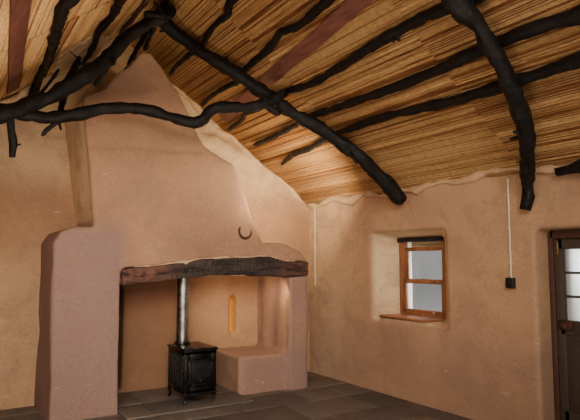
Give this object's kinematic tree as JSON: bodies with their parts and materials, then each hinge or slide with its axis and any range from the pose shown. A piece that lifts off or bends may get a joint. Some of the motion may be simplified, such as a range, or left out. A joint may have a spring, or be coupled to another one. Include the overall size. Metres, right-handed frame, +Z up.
{
  "type": "thatched cottage hearth end",
  "caption": "Cut-away end of a thatched cottage: gable hearth under a log lintel, tapering chimney breast, crooked pole roof with reed lining, sash window and glazed door.",
  "frame": {"origin": "centre of the bounding box at ground level", "axes": "+X across the ridge towards the wall with the window and the door, +Y along the ridge towards the gable with the hearth, +Z up"},
  "size_m": [7.6988, 6.32, 5.87],
  "materials": {
    "plaster": "matt limewashed plaster",
    "limewash_render": "matt limewashed render",
    "floor_stone": "worn stone flags",
    "dark_pole": "black-brown stained bark-stripped poles",
    "sawn_board": "red-brown sawn board",
    "reed_mat": "golden reed",
    "thatch": "weathered reed thatch",
    "hewn_log": "rough hewn dark timber",
    "sash_wood": "orange-brown varnish",
    "door_wood": "dark grey-brown paint",
    "clear_glass": "clear",
    "frosted_glass": "frosted",
    "blind_cloth": "black",
    "stove_iron": "blackened",
    "flue_zinc": "dull galvanised",
    "black_plastic": "satin",
    "cream_paint": "old cream paint",
    "old_iron": "rusted"
  },
  "bodies": {
    "house": {"floor": "floor_stone", "lintel_log": "hewn_log", "chimney_breast_front": "plaster", "chimney_breast_core": "plaster", "hearth_left_pier": "plaster", "hearth_right_jamb": "plaster", "hearth_bench": "plaster", "hearthstone": "floor_stone", "gable_wall": "plaster", "front_wall": "plaster", "front_wall_over_door": "plaster", "front_wall_end": "plaster", "back_wall": "plaster", "reed_mat_right": "reed_mat", "thatch_right": "thatch", "reed_mat_left": "reed_mat", "thatch_left": "thatch", "thatch_ridge": "thatch", "chimney_stack": "limewash_render", "chimney_cap": "floor_stone", "right_sawn_board": "sawn_board", "left_sawn_board": "sawn_board", "ridge_pole": "dark_pole", "right_purlin_1": "dark_pole", "right_purlin_2": "dark_pole", "right_purlin_3": "dark_pole", "right_purlin_4": "dark_pole", "right_purlin_5": "dark_pole", "left_purlin_1": "dark_pole", "left_purlin_2": "dark_pole", "left_purlin_3": "dark_pole", "left_purlin_4": "dark_pole", "left_purlin_5": "dark_pole", "truss_1_right_blade": "dark_pole", "truss_1_left_blade": "dark_pole", "truss_1_collar": "dark_pole", "truss_1_strut": "dark_pole", "truss_1_hanging_stub": "dark_pole", "truss_2_right_blade": "dark_pole", "truss_2_left_blade": "dark_pole", "truss_2_collar": "dark_pole", "window_frame": "sash_wood", "upper_sash_glass": "clear_glass", "upper_sash": "sash_wood", "lower_sash_glass": "clear_glass", "lower_sash": "sash_wood", "window_sill": "sash_wood", "blind_roller": "blind_cloth", "door_threshold": "floor_stone", "door_frame": "door_wood", "stove_body": "stove_iron", "flue_pipe": "flue_zinc", "horseshoe": "old_iron", "switch_box": "black_plastic", "switch_conduit": "cream_paint"},
    "door": {"door_leaf": "door_wood", "door_glass": "frosted_glass", "door_lock": "old_iron"},
    "stove_door": {"stove_door": "stove_iron"}
  },
  "joints": [
    {"name": "door_hinge", "type": "hinge", "parent": "house", "child": "door", "pos_m": [2.891, -2.4905, 1], "axis": [0, 0, 1], "range_deg": [0, 95]},
    {"name": "stove_door_hinge", "type": "hinge", "parent": "house", "child": "stove_door", "pos_m": [0.437, 1.153, 0.475], "axis": [0, 0, -1], "range_deg": [0, 110]}
  ]
}
